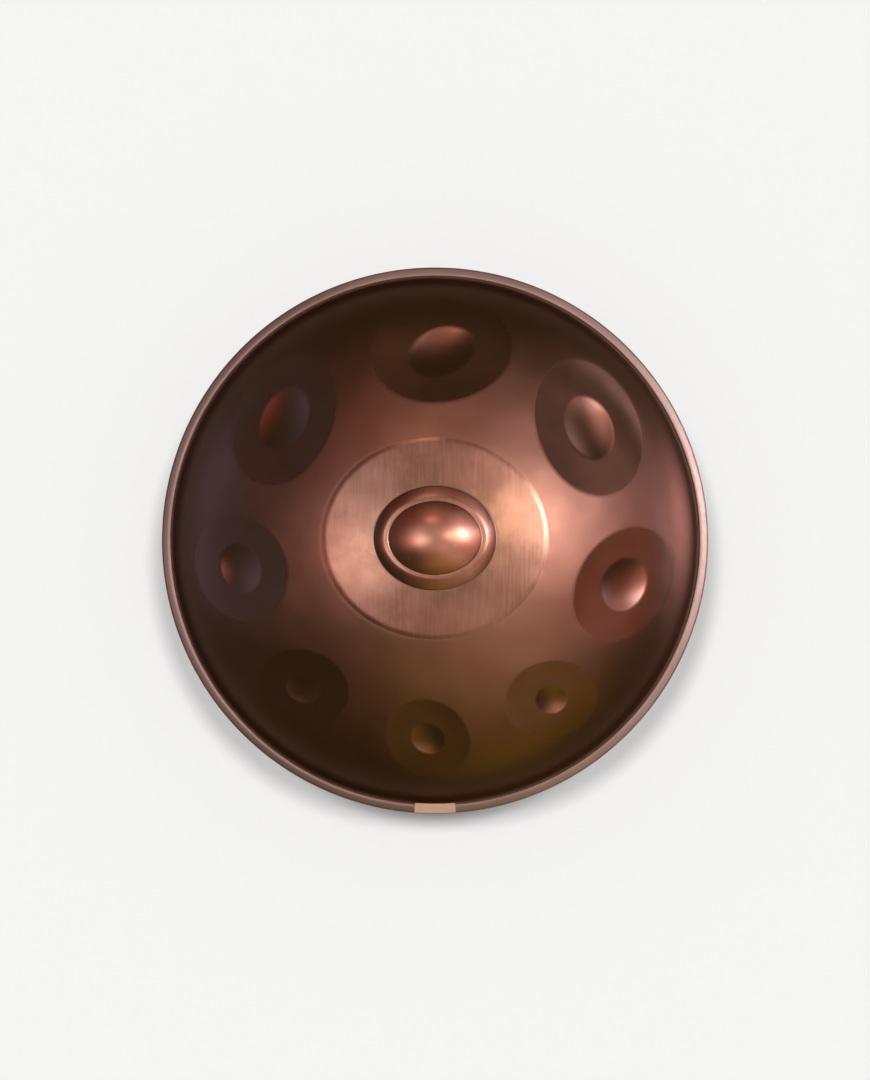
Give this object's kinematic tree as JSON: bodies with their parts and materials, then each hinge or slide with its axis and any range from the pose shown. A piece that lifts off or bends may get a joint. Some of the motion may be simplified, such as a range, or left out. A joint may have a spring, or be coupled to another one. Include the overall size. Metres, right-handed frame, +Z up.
{
  "type": "handpan",
  "caption": "Steel handpan: two glued drawn shells, a raised ding in the middle, a ring of dimpled tone fields, a rim band, a blank plate and a port underneath.",
  "frame": {"origin": "on the surface that the drum rests on, under its middle", "axes": "+Z up through the ding, -Y towards the maker's plate, +X to the right of it"},
  "size_m": [0.53, 0.53, 0.2348],
  "materials": {
    "shell_steel": "heat-bronzed nitrided steel, satin with fine rubbing marks",
    "seam_glue": "hardened dark epoxy",
    "band_metal": "satin, warm tint",
    "plate_copper": "satin copper-coloured, blank"
  },
  "bodies": {
    "root": {"top_shell": "shell_steel", "bottom_shell": "shell_steel", "glue_seam": "seam_glue", "rim_band": "band_metal", "makers_plate": "plate_copper"}
  },
  "joints": []
}
